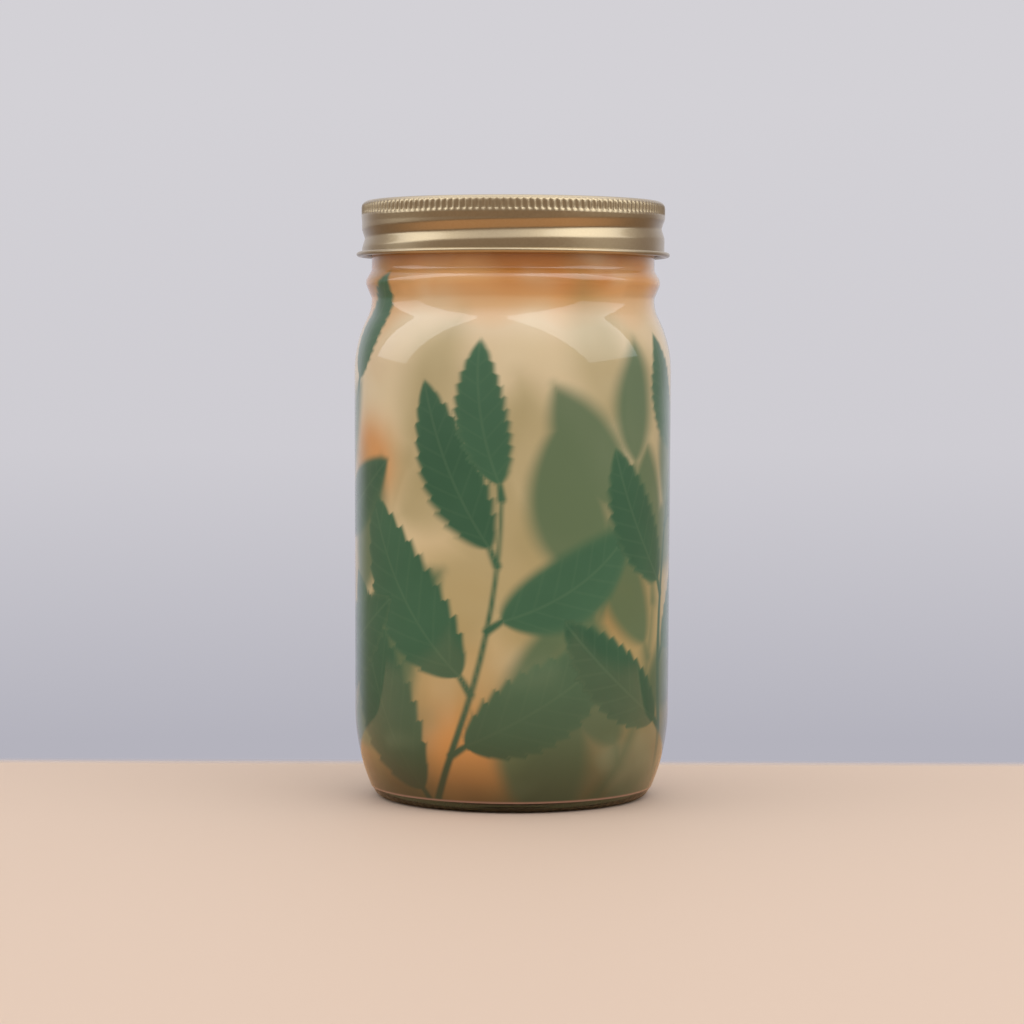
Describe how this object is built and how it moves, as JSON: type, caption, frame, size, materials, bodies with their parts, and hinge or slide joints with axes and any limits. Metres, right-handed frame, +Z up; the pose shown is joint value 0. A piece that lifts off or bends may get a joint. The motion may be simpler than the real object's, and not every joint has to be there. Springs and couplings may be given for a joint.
{
  "type": "hydroponic jar planter",
  "caption": "Wide-mouth glass jar in a printed film sleeve with a gold screw band and lid, a slotted net pot hung in the mouth, a felt wick and a coir plug.",
  "frame": {"origin": "middle of the jar's base, on the surface it stands on", "axes": "+Z up along the jar's axis, +X across the wick's two tails, -Y towards the camera of the picture"},
  "size_m": [0.0928, 0.0928, 0.174],
  "materials": {
    "clear_glass": "polished",
    "printed_film": "gloss",
    "gold_lacquer": "satin",
    "soft_seal": "matte",
    "stainless_steel": "satin",
    "felt": "matte",
    "coir": "matte",
    "plain_paper": "matte",
    "foil_film": "satin"
  },
  "bodies": {
    "jar": {"glass_jar": "clear_glass", "printed_sleeve": "printed_film", "seed_packet": "plain_paper", "nutrient_sachet": "foil_film"},
    "pot": {"net_pot": "stainless_steel", "wick": "felt", "grow_plug": "coir"},
    "seal": {"sealing_ring": "soft_seal"},
    "lid": {"lid_disc": "gold_lacquer"},
    "band": {"screw_band": "gold_lacquer"}
  },
  "joints": [
    {"name": "pot_lift", "type": "slide", "parent": "jar", "child": "pot", "axis": [0, 0, 1], "range_m": [0, 0.155]},
    {"name": "lid_lift", "type": "slide", "parent": "pot", "child": "seal", "axis": [0, 0, 1], "range_m": [0, 0.06]},
    {"name": "lid_rise", "type": "slide", "parent": "seal", "child": "lid", "axis": [0, 0, 1], "range_m": [0, 0.008]},
    {"name": "band_turn", "type": "hinge", "parent": "lid", "child": "band", "pos_m": [0, 0, 0.166], "axis": [0, 0, 1], "range_deg": [0, 450]}
  ],
  "couplings": [
    {"joint": "lid_rise", "follows": "band_turn", "m_per_rad": 0.0010106}
  ]
}
